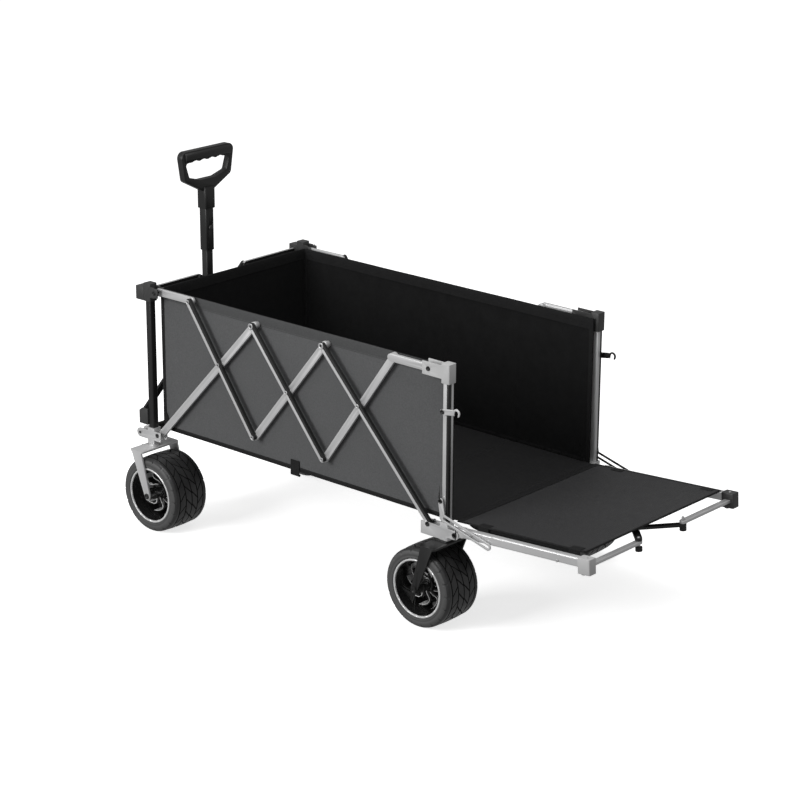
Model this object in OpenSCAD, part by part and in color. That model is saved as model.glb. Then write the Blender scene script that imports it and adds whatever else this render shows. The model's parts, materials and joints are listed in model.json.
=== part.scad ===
/* [Cargo box] */
// Length of the fabric box
cargo_len = 1050; // [960:10:1260]
// Width over the fabric side walls
cargo_w = 566; // [480:2:680]
// Height of the fabric walls above the floor
wall_h = 400; // [380:5:480]
// Thickness of the plain fabric panels
fabric_t = 3; // [2:0.5:4]
// Gap left between soft panels and what they meet
soft_gap = 0.3; // [0.2:0.1:0.6]

/* [Frame] */
// Side of the square corner posts
post = 20; // [19:0.5:24]
// Wall of the square posts and tubes
tube_wall = 1.5; // [1:0.1:2.5]
// Gap between the fabric wall and the inner layer of bars
wall_gap = 8; // [8:0.5:12]
// Thickness of the inner scissor bars
inner_bar_t = 8; // [6:0.5:8]
// Width of the inner scissor bars
inner_bar_w = 20; // [16:0.5:22]
// Width of the outer scissor bars
outer_bar_w = 16; // [14:0.5:20]
// Space for the washer between the two layers of bars
washer_gap = 2; // [1.5:0.1:3]
// Thickness of the bracket plates
plate_t = 3; // [2:0.25:4]
// Distance from the front wall forward to the front posts' centres
front_post_off = 22; // [20:0.5:30]
// Distance from the rear end of the floor forward to the rear posts' centres
rear_post_off = 2; // [0:0.5:6]

/* [Scissor] */
// Distance from the front wall back to the lower front pivot
front_pivot_in = 5; // [5:0.5:12]
// Distance from the rear end of the floor forward to the lower rear pivot
rear_pivot_in = 55; // [50:1:70]
// Distance of the lower end pivots below the floor
end_pivot_drop = 17; // [14:0.5:20]
// Distance of the upper joints below the rim
top_joint_drop = 27; // [24:1:40]
// Height of the lower joints above the floor
low_joint_rise = 64; // [56:1:80]
// Distance between the two middle upper joints
joint_pitch = 254; // [230:2:280]
// Length of the falling bar above its first crossing
stub_len = 190; // [180:1:195]
// Lift angle of the middle bars when the wagon is folded
folded_angle = 80.5; // [78:0.1:81]
// Radius of the rivets
rivet_r = 3.5; // [3:0.1:4]
// Radial running clearance of every pivot
run_fit = 0.05; // [0.02:0.01:0.1]
// Radial room in the joints that are left open
open_fit = 3; // [2.5:0.1:3.5]

/* [Wheels] */
// Diameter of the tyres
wheel_d = 214; // [174:2:250]
// Width of the tyres
wheel_w = 124; // [98:1:130]
// Diameter of the rims
rim_d = 158; // [132:1:162]
// Gap between the tyre and the crown of its fork
tyre_gap = 13; // [12:1:24]
// Thickness of the fork plates
fork_t = 5; // [4:0.5:6]
// Length of the fork crown along the wagon
crown_len = 50; // [44:1:56]
// Gap between the tyre and the fork arms
arm_gap = 3; // [2:0.5:5]
// Offset of the axle from the middle of the fork crown
trail = 40; // [32:1:46]
// Radius of the axle bolts
axle_r = 5; // [4:0.5:6]
// Height of the king pin collar between bracket and crown
collar_h = 5; // [4:0.5:7]

/* [Tailgate] */
// Length of the tailgate deck
deck_len = 422; // [355:2:480]
// Rise of the lowered tailgate above level, in degrees
deck_rise = 3.7; // [0:0.1:6]
// Distance from the rear end of the floor back to the tailgate hinge
hinge_off = 34; // [33:0.5:40]
// Distance of the tailgate hinge below the floor
hinge_drop = 25; // [22:0.5:28]
// Height of the tailgate side tubes
gate_tube_h = 23; // [20:0.5:24]
// Reach of the brace pin from the tailgate hinge
brace_pin_reach = 55; // [50:1:60]

/* [Handle] */
// Distance from the front wall forward to the handle
handle_off = 108; // [96:1:116]
// Height of the top of the grip above the floor
grip_top = 728; // [660:1:860]
// Side of the square lower tube of the handle
stem_w = 24; // [20:1:25]
// Side of the square upper sleeve of the handle
sleeve_w = 30; // [29:1:34]
// Length of the upper sleeve
sleeve_len = 122; // [110:1:156]
// Width of the loop grip
grip_w = 198; // [170:2:230]
// Depth of the loop grip
grip_t = 32; // [26:1:36]
// Radius of the draw bar
drawbar_r = 11; // [10:0.5:12]

/* [Hidden] */
$fn = 48;
slide_fit = 0.3;

// Layers outside the fabric wall, measured outward from it.
outer_bar_t = post - inner_bar_t - washer_gap;
outer_lay = wall_gap + inner_bar_t + washer_gap;
post_out = wall_gap + post / 2;
plate_gap = 0.5;
plate_in = wall_gap - plate_gap - plate_t;
plate_out = wall_gap + post + plate_gap;
block_w = plate_out + plate_t - plate_in;
wall_y = cargo_w / 2;
post_y = wall_y + post_out;

// Heights above the ground.
wheel_r = wheel_d / 2;
crown_z = wheel_r * 2 + tyre_gap + fork_t;
bracket_z = crown_z + collar_h;
bracket_drop = 47;
floor_z = bracket_z + bracket_drop;
rim_z = floor_z + wall_h;
fitting_h = 50;
fitting_z = rim_z + 15 - fitting_h;

// Stations along the wagon: the origin is in the middle of the whole length.
hinge_reach = (deck_len - hinge_off) * cos(deck_rise);
gate_block = 37;
gate_block_top = 21.5;
gate_block_h = 40;
gate_end = deck_len - hinge_off - 2 + gate_block;
rear_reach = hinge_off + gate_end * cos(deck_rise) + (gate_block_h - gate_block_top) * sin(deck_rise);
neck_w = sleeve_w + 8;
front_reach = handle_off + max(grip_t, neck_w) / 2;
overall_len = front_reach + cargo_len + rear_reach;
front_x = front_reach - overall_len / 2;
rear_x = front_x + cargo_len;
front_post_x = front_x - front_post_off;
rear_post_x = rear_x - rear_post_off;
hinge = [rear_x + hinge_off, floor_z - hinge_drop];

// Scissor joints, as [x, z]. A crossing lies where the bars fold flat.
low_front = [front_x + front_pivot_in, floor_z - end_pivot_drop];
low_rear = [rear_x - rear_pivot_in, floor_z - end_pivot_drop];
mid_x = (low_front.x + low_rear.x) / 2;
top_z = rim_z - top_joint_drop;
low_z = floor_z + low_joint_rise;
joint_h = top_z - low_z;
top_1 = [mid_x - joint_pitch / 2, top_z];
top_2 = [mid_x + joint_pitch / 2, top_z];
low_1 = [top_1.x, low_z];
low_2 = [top_2.x, low_z];
half_bar = norm([joint_pitch, joint_h]) / 2;
end_bar_angle = atan2(top_z - low_front.y, top_1.x - low_front.x);
upper_part = (4 * pow(half_bar, 2) - pow(joint_h, 2)) / (4 * half_bar - 2 * joint_h * sin(end_bar_angle));
lower_part = 2 * half_bar - upper_part;
cross_1 = top_1 - upper_part * [cos(end_bar_angle), sin(end_bar_angle)];
cross_2 = [mid_x, (top_z + low_z) / 2];
cross_3 = [2 * mid_x - cross_1.x, cross_1.y];
fall_angle = asin((cross_1.y - low_z) / lower_part);
top_0 = cross_1 + stub_len * [-cos(fall_angle), sin(fall_angle)];
top_3 = [2 * mid_x - top_0.x, top_0.y];

// The top link's fixed pivot is level with the point that keeps its length when open and when folded.
folded_h = 2 * half_bar * sin(folded_angle);
end_bar_len = norm(cross_1 - low_front);
folded_end_angle = asin((pow(folded_h, 2) + pow(upper_part, 2) - pow(lower_part, 2)) / (2 * folded_h * upper_part));
folded_fall_angle = asin((pow(folded_h, 2) + pow(lower_part, 2) - pow(upper_part, 2)) / (2 * folded_h * lower_part));
folded_top_0 = low_front + end_bar_len * [cos(folded_end_angle), sin(folded_end_angle)]
    + stub_len * [-cos(folded_fall_angle), sin(folded_fall_angle)];
link_x = low_front.x + 2;
link_z = (pow(folded_top_0.y, 2) - pow(top_0.y, 2) + pow(folded_top_0.x - link_x, 2)
    - pow(top_0.x - link_x, 2)) / (2 * (folded_top_0.y - top_0.y));
link_front = [link_x, link_z];
link_rear = [2 * mid_x - link_x, link_z];

// End frame: layers in front of the posts, measured from the posts' centres.
end_bar_t = 8;
end_bar_w = 18;
end_lay_1 = -22;
end_lay_2 = end_lay_1 - end_bar_t - 1;
end_lay_3 = end_lay_2 - end_bar_t - 1;
end_clevis_off = post / 2 + 3;
end_joint_y = 93;
end_joint_z = rim_z - 18;
foot_rise = 26;
foot_h = 46;
wing_x = front_post_x - 42;
wing_z = floor_z - 22;

// Tailgate braces, latches and handle.
brace_pivot = [rear_post_x - 8, floor_z + 57];
brace_t = 3;
brace_lay = plate_out + plate_t + 0.7;
brace_slot_from = 18;
brace_slot_to = 170;
brace_tilt = 15;
brace_along = [cos(brace_tilt), -sin(brace_tilt)];
brace_pin_angle = 12.5;
brace_pin = brace_pin_reach * [cos(brace_pin_angle), sin(brace_pin_angle)];
brace_pin_at_rest = hinge + brace_pin_reach
    * [cos(deck_rise + brace_pin_angle), sin(deck_rise + brace_pin_angle)] - brace_pivot;
brace_foot = brace_pivot + brace_pin_at_rest - (brace_pin_at_rest * brace_along) * brace_along;
hook_pivot = [rear_post_x - 5, floor_z + 292];
stud_reach = hook_pivot.y - hinge.y + 6;
grip_h = 102;
neck_h = 70;
collar_z = floor_z + grip_top - grip_h - neck_h;
sleeve_z = collar_z - sleeve_len;
handle_x = front_x - handle_off;
stem_top = sleeve_z + 60;
handle_pivot_z = wing_z;
button_r = 7;
button_press = 2;
button_z = sleeve_z + 66;
steer_x = front_post_x;
fixed_fork_x = rear_post_x - 7;
front_axle_x = steer_x + trail;
rear_axle_x = fixed_fork_x - trail;
king_r = 6;
king_len = 14;
arm_out = wheel_w / 2 + arm_gap + fork_t;

// Shapes that repeat.

module both_sides() {
    children();
    mirror([0, 1, 0]) children();
}

// Draws an outline in x and z as a plate on the left side, from the given distance outside the wall.
module side_plate(out, t) {
    translate([0, -(wall_y + out), 0]) rotate([90, 0, 0]) linear_extrude(t) children();
}

// Draws an outline in y and z as a plate, from x forward to x + t.
module end_plate(x, t) {
    translate([x, 0, 0]) rotate([90, 0, 90]) linear_extrude(t) children();
}

module rounded_square(w, h, r) {
    square([w - 2 * r, h], center = true);
    square([w, h - 2 * r], center = true);
    for (i = [-1, 1], j = [-1, 1]) translate([i * (w / 2 - r), j * (h / 2 - r)]) circle(r);
}

// A bar outline with round ends, centred on the two points.
module bar_outline(a, b, w) {
    d = b - a;
    translate(a) rotate(atan2(d.y, d.x)) {
        translate([0, -w / 2]) square([norm(d), w]);
        circle(w / 2);
        translate([norm(d), 0]) circle(w / 2);
    }
}

module holes(points, r) {
    for (p = points) translate(p) circle(r);
}

// An upright square tube around the axis, with its corners rounded.
module square_tube(w, wall, len, r) {
    linear_extrude(len) difference() {
        rounded_square(w, w, r);
        rounded_square(w - 2 * wall, w - 2 * wall, max(r - wall, 0.5));
    }
}

// A headed pin on the left side through [x, z], with its shank between two distances outside the wall.
module side_pin(p, out_a, out_b, r, head_r, head_in_t, head_out_t) {
    translate([p.x, -(wall_y + out_a), p.y]) rotate([90, 0, 0]) {
        cylinder(r = r, h = out_b - out_a);
        translate([0, 0, -head_in_t]) cylinder(r = head_r, h = head_in_t);
        translate([0, 0, out_b - out_a]) cylinder(r = head_r, h = head_out_t);
    }
}

// Front end frame.

module corner_posts(x) {
    both_sides() translate([x, -post_y, floor_z - 30]) square_tube(post, tube_wall, wall_h + 30, 3.5);
}

module front_posts() {
    color("dimgray") corner_posts(front_post_x);
}

module post_socket(x, z, h) {
    translate([x, -post_y, z + h / 2]) cube([post + 2 * run_fit, post + 2 * run_fit, h], center = true);
}

module fitting_block(x, w, z, h) {
    translate([x, -(wall_y + plate_in + block_w / 2), z]) linear_extrude(h) rounded_square(w, block_w, 3);
}

module front_corner_fittings() {
    clevis_z = link_front.y - 15;
    clevis_end = link_front.x + 13;
    color("darkslategray") both_sides() difference() {
        union() {
            fitting_block(front_post_x, post + 7, fitting_z, fitting_h);
            for (out = [plate_in, plate_out]) side_plate(out, plate_t) {
                translate([front_post_x, clevis_z]) square([link_front.x - front_post_x, 30]);
                translate([link_front.x - 2, clevis_z + 2]) square([clevis_end - link_front.x + 2, 26]);
            }
            translate([front_post_x + end_lay_3 - 2.5, -(wall_y + plate_in + block_w), fitting_z])
                cube([-end_lay_3 + 2.5 - 12, block_w, 38]);
        }
        post_socket(front_post_x, fitting_z - 1, rim_z - fitting_z + 1);
        side_plate(plate_in - 1, block_w + 2) holes([link_front], rivet_r + run_fit);
        translate([front_post_x + end_lay_2 - slide_fit, -(wall_y + plate_out), end_joint_z - 11])
            cube([end_bar_t + 2 * slide_fit, post_out + 20, 22]);
        translate([front_post_x + end_lay_3 - 5, -post_y, end_joint_z]) rotate([0, 90, 0])
            cylinder(r = rivet_r + run_fit, h = 40);
    }
}

module lower_boss(x) {
    difference() {
        fitting_block(x, post + 7, bracket_z, bracket_drop);
        post_socket(x, floor_z - 30, 40);
    }
}

module front_lower_brackets() {
    color("silver") both_sides() difference() {
        union() {
            lower_boss(front_post_x);
            for (out = [plate_in, plate_out]) side_plate(out, plate_t) difference() {
                union() {
                    bar_outline([wing_x, wing_z], [front_post_x - 14, wing_z], 26);
                    bar_outline([front_post_x + 14, low_front.y - 4], low_front + [0, -4], 26);
                    translate([low_front.x, low_front.y - 17]) square([13, 26]);
                }
                translate([front_post_x - post / 2, bracket_z]) square([post, bracket_drop]);
            }
        }
        side_plate(plate_in - 1, block_w + 2) holes([low_front, [wing_x, wing_z]], rivet_r + run_fit);
        translate([front_post_x, -post_y, bracket_z - 1]) cylinder(r = king_r + run_fit, h = king_len + 2);
    }
}

// The end bars cross at the middle and run from a foot on one post to a joint past the middle.
end_foot = [-post_y, floor_z + foot_rise + 12];
end_top = [end_joint_y, end_joint_z];
end_middle_z = end_foot.y + (end_top.y - end_foot.y) * post_y / (post_y + end_joint_y);

module end_bar_outline() {
    difference() {
        bar_outline(end_foot, end_top, end_bar_w);
        holes([end_foot, end_top, [0, end_middle_z]], rivet_r + run_fit);
    }
}

module end_bar_outer() {
    color("black") end_plate(front_post_x + end_lay_3, end_bar_t) end_bar_outline();
}

module end_bar_inner() {
    color("black") end_plate(front_post_x + end_lay_1, end_bar_t) mirror([1, 0]) end_bar_outline();
}

module end_links() {
    color("silver") both_sides() end_plate(front_post_x + end_lay_2, end_bar_t) difference() {
        bar_outline([-post_y, end_joint_z], [-end_joint_y, end_joint_z], 20);
        holes([[-post_y, end_joint_z], [-end_joint_y, end_joint_z]], rivet_r + run_fit);
    }
}

module end_bar_feet() {
    cheek = 2.5;
    foot_z = floor_z + foot_rise - 20;
    back = -post / 2 - run_fit;
    color("dimgray") both_sides() difference() {
        translate([front_post_x, -(wall_y + plate_in), foot_z]) rotate([90, 0, 0]) linear_extrude(block_w)
            polygon([[end_lay_3 - 1 - cheek, 0], [back, 0], [back, foot_h], [end_lay_3 + 8, foot_h],
                [end_lay_3 - 1 - cheek, foot_h - 8]]);
        translate([front_post_x + end_lay_3 - 1, -(wall_y + plate_out), foot_z + 10])
            cube([-end_lay_3 + 2 + end_lay_1 + end_bar_t, post + plate_in + 20, foot_h]);
        translate([front_post_x + end_lay_3 - 10, -post_y, end_foot.y]) rotate([0, 90, 0])
            cylinder(r = rivet_r + run_fit, h = 60);
    }
}

module draw_bar() {
    len = 2 * (wall_y + plate_in - slide_fit);
    color("black") translate([wing_x, len / 2, wing_z]) rotate([90, 0, 0]) difference() {
        cylinder(r = drawbar_r, h = len);
        translate([0, 0, -1]) cylinder(r = rivet_r + run_fit, h = len + 2);
    }
}

module handle_yoke() {
    cheek_in = stem_w / 2 + slide_fit;
    cheek_t = 5;
    half = cheek_in + cheek_t;
    color("black") difference() {
        union() {
            translate([wing_x, half, wing_z]) rotate([90, 0, 0]) cylinder(r = drawbar_r + 5, h = 2 * half);
            for (side = [-1, 1]) translate([0, side * (cheek_in + cheek_t / 2) + cheek_t / 2, 0])
                rotate([90, 0, 0]) linear_extrude(cheek_t)
                    bar_outline([wing_x, wing_z], [handle_x, handle_pivot_z], 30);
        }
        translate([wing_x, half + 1, wing_z]) rotate([90, 0, 0])
            cylinder(r = drawbar_r + run_fit, h = 2 * half + 2);
        translate([handle_x, half + 1, handle_pivot_z]) rotate([90, 0, 0])
            cylinder(r = rivet_r + run_fit, h = 2 * half + 2);
        translate([handle_x - 16, -cheek_in, wing_z - 40]) cube([16 + stem_w / 2 + 3, 2 * cheek_in, 80]);
    }
}

module front_bolts() {
    outer = plate_out + plate_t;
    color("silver") {
        both_sides() {
            side_pin(low_front, plate_in, outer, rivet_r, 6, 2, 2);
            side_pin(link_front, plate_in, outer, rivet_r, 6, 2, 2);
            side_pin([wing_x, wing_z], -30, outer, rivet_r, rivet_r, 0.1, 2.5);
            translate([front_post_x + end_lay_3 - 5, -post_y, end_foot.y]) rotate([0, 90, 0])
                cylinder(r = rivet_r, h = -end_lay_3 + 5 - post / 2 - 1);
            translate([front_post_x + end_lay_3 - 4, -post_y, end_joint_z]) rotate([0, 90, 0])
                cylinder(r = rivet_r, h = -end_lay_3 + 4 - post / 2 - 1);
        }
        for (side = [-1, 1]) translate([front_post_x + end_lay_3 - 2, side * end_joint_y, end_joint_z])
            rotate([0, 90, 0]) cylinder(r = rivet_r, h = -end_lay_3 + end_lay_1 + end_bar_t + 4);
        translate([front_post_x + end_lay_3 - 2, 0, end_middle_z]) rotate([0, 90, 0]) {
            cylinder(r = rivet_r, h = -end_lay_3 + end_lay_1 + end_bar_t + 4);
            translate([0, 0, end_bar_t + 2.2]) cylinder(r = 9, h = -end_lay_3 + end_lay_1 - end_bar_t - 0.4);
        }
        yoke = stem_w / 2 + slide_fit + 5;
        translate([handle_x, yoke + 2, handle_pivot_z]) rotate([90, 0, 0]) {
            cylinder(r = rivet_r, h = 2 * yoke + 4);
            cylinder(r = 7, h = 2);
            translate([0, 0, 2 * yoke + 2]) cylinder(r = 7, h = 2);
        }
    }
}

// Fabric box. The panels meet with a small gap.

module front_panel() {
    color("black") translate([front_x, -wall_y + fabric_t + soft_gap, floor_z - 4])
        cube([fabric_t, cargo_w - 2 * (fabric_t + soft_gap), wall_h + 4]);
}

module side_panel() {
    translate([front_x, -wall_y, floor_z - 4]) cube([cargo_len, fabric_t, wall_h + 4]);
}

module side_panel_left() {
    color("dimgray") side_panel();
}

module side_panel_right() {
    color("dimgray") mirror([0, 1, 0]) side_panel();
}

module floor_panel() {
    start = front_x + fabric_t + soft_gap;
    color("black") translate([start, -wall_y + fabric_t + soft_gap, floor_z - fabric_t - soft_gap])
        cube([rear_x - start, cargo_w - 2 * (fabric_t + soft_gap), fabric_t]);
}

// Scissor sides. Rising bars lie in the inner layer, falling bars in the outer one.

module inner_bar(a, b, bores, open_bores) {
    side_plate(wall_gap, inner_bar_t) difference() {
        bar_outline(a, b, inner_bar_w);
        holes(bores, rivet_r + run_fit);
        holes(open_bores, rivet_r + open_fit);
    }
}

module outer_bar(a, b, bores) {
    side_plate(outer_lay, outer_bar_t) difference() {
        bar_outline(a, b, outer_bar_w);
        holes(bores, rivet_r + run_fit);
    }
}

module rising_bars_front() {
    color("silver") both_sides() inner_bar(low_front, top_1, [low_front, cross_1], [top_1]);
}

module falling_bars_front() {
    color("silver") both_sides() outer_bar(top_0, low_1, [top_0, cross_1, low_1]);
}

module rising_bars_middle() {
    color("silver") both_sides() inner_bar(low_1, top_2, [low_1, cross_2], [top_2]);
}

module falling_bars_middle() {
    color("silver") both_sides() outer_bar(top_1, low_2, [top_1, cross_2, low_2]);
}

module rising_bars_rear() {
    color("silver") both_sides() inner_bar(low_2, top_3, [low_2, cross_3], []);
}

module falling_bars_rear() {
    color("silver") both_sides() outer_bar(top_2, low_rear, [top_2, cross_3, low_rear]);
}

// A rivet through both layers of bars, with a washer between them. The inner head may reach the fabric.
module bar_rivet(p, head_r, head_in) {
    clear = 0.2;
    side_pin(p, wall_gap - clear, wall_gap + post + clear, rivet_r, head_r, head_in, 1.8);
    side_pin(p, wall_gap + inner_bar_t + clear, outer_lay - clear, 8, 8, 0, 0);
}

module rivets(joints, tops) {
    reach = wall_gap - 0.2 - soft_gap;
    both_sides() {
        for (p = joints) bar_rivet(p, 5.5, 2);
        for (p = tops) bar_rivet(p, 8.5, reach);
    }
}

module rivets_front() {
    color("silver") {
        rivets([cross_1, low_1], []);
        both_sides() side_pin(top_0, outer_lay - washer_gap + slide_fit, wall_gap + post + 0.2, rivet_r, 5.5, 0, 1.8);
    }
}

module rivets_middle() {
    color("silver") rivets([cross_2, low_2], [top_1]);
}

module rivets_rear() {
    color("silver") rivets([cross_3], [top_2]);
}

module front_top_links() {
    color("silver") both_sides() side_plate(wall_gap, inner_bar_t) difference() {
        bar_outline(link_front, top_0, 20);
        holes([link_front], rivet_r + run_fit);
    }
}

module rear_top_links() {
    color("silver") both_sides() {
        side_plate(outer_lay, outer_bar_t) difference() {
            bar_outline(link_rear, top_3, 20);
            holes([link_rear], rivet_r + run_fit);
        }
        side_pin(top_3, outer_lay - washer_gap + slide_fit, outer_lay, 6, 6, 0, 0);
    }
}

// Rear end frame.

module rear_posts() {
    color("silver") corner_posts(rear_post_x);
}

module rear_corner_fittings() {
    color("silver") both_sides() difference() {
        union() {
            fitting_block(rear_post_x, post + 7, fitting_z, fitting_h);
            for (out = [plate_in, plate_out]) side_plate(out, plate_t)
                translate([link_rear.x - 20, link_rear.y - 17])
                    square([rear_post_x - link_rear.x + 20, 34]);
        }
        post_socket(rear_post_x, fitting_z - 1, rim_z - fitting_z + 1);
        side_plate(plate_in - 1, block_w + 2) holes([link_rear], rivet_r + run_fit);
    }
}

module rear_lower_brackets() {
    plate_h = 34;
    ear_r = 12;
    hinge_r = rivet_r + 1;
    color("silver") both_sides() difference() {
        union() {
            lower_boss(rear_post_x);
            for (out = [plate_in, plate_out]) side_plate(out, plate_t) difference() {
                union() {
                    translate([low_rear.x - 22, bracket_z + 1]) square([rear_post_x - low_rear.x + 22, plate_h]);
                    bar_outline([rear_post_x, hinge.y], hinge, 2 * ear_r);
                }
                translate([rear_post_x - post / 2, bracket_z]) square([post, bracket_drop]);
            }
        }
        side_plate(plate_in - 1, block_w + 2) {
            holes([low_rear], rivet_r + run_fit);
            holes([hinge], hinge_r + run_fit);
        }
    }
}

// A fork around a wheel on the left side, with its axle at the given offset from the crown's middle.
module fork(x, axle_off) {
    half = arm_out;
    translate([x, -post_y, crown_z]) {
        translate([0, 0, -fork_t]) linear_extrude(fork_t) rounded_square(crown_len, 2 * half, 6);
        for (side = [-1, 1]) translate([0, side * (half - fork_t / 2) + fork_t / 2, 0]) rotate([90, 0, 0])
            linear_extrude(fork_t) difference() {
                union() {
                    polygon([[-crown_len / 2 + 6, -1], [crown_len / 2 - 6, -1],
                        [axle_off + 11, wheel_r - crown_z + 2], [axle_off - 11, wheel_r - crown_z + 2]]);
                    translate([axle_off, wheel_r - crown_z]) circle(11.2);
                }
                translate([axle_off, wheel_r - crown_z]) circle(axle_r + run_fit);
            }
    }
}

module rear_forks() {
    color("black") both_sides() {
        fork(fixed_fork_x, -trail);
        translate([fixed_fork_x, -post_y, crown_z]) linear_extrude(collar_h) rounded_square(38, 30, 4);
    }
}

module axle_bolt(x) {
    half = arm_out;
    translate([x, -post_y + half + 0.2, wheel_r]) rotate([90, 0, 0]) {
        cylinder(r = axle_r, h = 2 * half + 0.4);
        translate([0, 0, -3]) cylinder(r = 8, h = 3);
        translate([0, 0, 2 * half + 0.4]) cylinder(r = 8, h = 3);
    }
}

module rear_bolts() {
    outer = plate_out + plate_t;
    color("silver") both_sides() {
        side_pin(low_rear, plate_in, outer, rivet_r, 6, 2, 2);
        side_pin(link_rear, plate_in, outer, rivet_r, 6, 2, 2);
        side_pin(hinge, plate_in, outer, rivet_r + 1, 7, 2, 2);
        side_pin(brace_pivot, wall_gap + post - tube_wall, brace_lay + brace_t + 0.2, rivet_r, 6, 0, 1.8);
        side_pin(hook_pivot, wall_gap + post - tube_wall, brace_lay + brace_t + 0.2, rivet_r, 6, 0, 1.8);
        axle_bolt(rear_axle_x);
    }
}

// Hooks that hold the closed tailgate by its studs.
module latch_hook() {
    claw = [hinge.x + 4, hook_pivot.y + 6];
    side_plate(brace_lay, brace_t) difference() {
        union() {
            bar_outline(hook_pivot, claw + [-14, -1], 15);
            difference() {
                translate(claw) circle(11);
                translate(claw) circle(6);
                translate(claw + [-7, -14]) square([12, 14]);
            }
        }
        holes([hook_pivot], rivet_r + run_fit);
    }
}

module latch_hook_left() {
    color("silver") latch_hook();
}

module latch_hook_right() {
    color("black") mirror([0, 1, 0]) latch_hook();
}

// The brace is a bent plate with a long slot that the tailgate's pin runs along.
module brace_outline() {
    slot_from = brace_foot + brace_slot_from * brace_along;
    slot_to = brace_foot + brace_slot_to * brace_along;
    difference() {
        union() {
            bar_outline(slot_from, slot_to, 19);
            bar_outline(brace_pivot, slot_from, 15);
        }
        bar_outline(slot_from + 6 * brace_along, slot_to, 8);
        holes([brace_pivot], rivet_r + run_fit);
    }
}

module brace_arms() {
    color("silver") both_sides() side_plate(brace_lay, brace_t) brace_outline();
}

// Tailgate, drawn level with its hinge at the origin and then set on the hinge at its rise.
gate_z = 7.5;
gate_tube_from = 24;
gate_tube_to = deck_len - hinge_off - 2;
gate_bar_t = 7;
gate_lay = -3;

module on_gate() {
    translate([hinge.x, 0, hinge.y]) rotate([0, -deck_rise, 0]) children();
}

module gate_tube() {
    y = -(wall_y + wall_gap + post / 2);
    translate([gate_tube_from, y, gate_z]) rotate([90, 0, 90]) linear_extrude(gate_tube_to - gate_tube_from)
        difference() {
            rounded_square(post, gate_tube_h, 3.5);
            rounded_square(post - 2 * tube_wall, gate_tube_h - 2 * tube_wall, 2);
        }
    side_plate(wall_gap + slide_fit, post - 2 * slide_fit) difference() {
        union() {
            circle(11);
            translate([0, -4]) square([gate_tube_from, gate_tube_h]);
        }
        circle(rivet_r + 1 + run_fit);
    }
}

module tailgate_tubes() {
    color("silver") on_gate() both_sides() gate_tube();
}

module tailgate_corners() {
    color("silver") on_gate() both_sides() difference() {
        translate([gate_tube_to + gate_block / 2, -(wall_y + plate_in + block_w / 2),
            gate_block_top - gate_block_h]) linear_extrude(gate_block_h) rounded_square(gate_block, block_w, 3);
        translate([gate_tube_to + 8, -(wall_y + plate_out), gate_lay - slide_fit])
            cube([22, block_w + 20, gate_bar_t + 2 * slide_fit]);
        translate([gate_tube_to + 19, -post_y, -30]) cylinder(r = rivet_r + run_fit, h = 60);
    }
}

gate_link_x = gate_tube_to + 19;
gate_bar_foot = [52, -(wall_y - 6)];
gate_bar_top = [gate_link_x, end_joint_y];

module gate_bar_outline() {
    difference() {
        bar_outline(gate_bar_foot, gate_bar_top, end_bar_w);
        holes([gate_bar_foot, gate_bar_top], rivet_r + run_fit);
    }
}

module tailgate_bars() {
    color("black") on_gate() {
        translate([0, 0, gate_lay - gate_bar_t - 1]) linear_extrude(gate_bar_t) gate_bar_outline();
        translate([0, 0, gate_lay + gate_bar_t + 1]) linear_extrude(gate_bar_t) mirror([0, 1]) gate_bar_outline();
    }
}

module tailgate_links() {
    color("silver") on_gate() both_sides() translate([0, 0, gate_lay]) linear_extrude(gate_bar_t) difference() {
        bar_outline([gate_link_x, -post_y], [gate_link_x, -end_joint_y], 18);
        holes([[gate_link_x, -post_y], [gate_link_x, -end_joint_y]], rivet_r + run_fit);
    }
}

module tailgate_feet() {
    base = gate_block_top - gate_block_h;
    color("black") on_gate() both_sides() {
        translate([gate_tube_to + 10, -post_y, base - 5]) cylinder(r1 = 7, r2 = 8, h = 5, $fn = 32);
        translate([gate_link_x, -end_joint_y, gate_lay - gate_bar_t - 1.2 - 12]) {
            cylinder(r = 9, h = 12);
        }
    }
}

module tailgate_panel() {
    top = hinge_drop * cos(deck_rise) + hinge_off * sin(deck_rise);
    tab_w = 42;
    tab_h = 14;
    from = -16;
    to = deck_len - hinge_off;
    tab_y = wall_y + wall_gap - soft_gap;
    color("dimgray") on_gate() {
        translate([from, -wall_y, top - fabric_t]) cube([to - from, cargo_w, fabric_t]);
        for (x = [gate_tube_from + 6, to - tab_w - 8]) both_sides() {
            translate([x, -wall_y, top - tab_h]) cube([tab_w, fabric_t, tab_h]);
            translate([x, -tab_y, top - tab_h]) cube([tab_w, tab_y - wall_y + fabric_t, fabric_t]);
        }
    }
}

module gate_pin(p, out_b, head_r) {
    side_pin(p, wall_gap + post - tube_wall, out_b, rivet_r, head_r, 0, 0);
}

module tailgate_studs() {
    reach = brace_lay - slide_fit;
    color("silver") on_gate() {
        both_sides() {
            gate_pin(brace_pin, reach, rivet_r);
            gate_pin([stud_reach, gate_z - gate_tube_h / 2 + 4], reach, rivet_r);
            translate([gate_link_x, -post_y, gate_block_top - gate_block_h + 1])
                cylinder(r = rivet_r, h = gate_block_h);
        }
        for (side = [-1, 1]) {
            translate([gate_link_x, side * end_joint_y, gate_lay - gate_bar_t - 1])
                cylinder(r = rivet_r, h = 3 * gate_bar_t + 4);
            translate([gate_bar_foot.x, side * gate_bar_foot.y, gate_lay - gate_bar_t - 3])
                cylinder(r = rivet_r, h = 3 * gate_bar_t + 4.5);
        }
    }
}

// Wheels. A wheel module is drawn on the left side with its axle at the given station.

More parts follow.
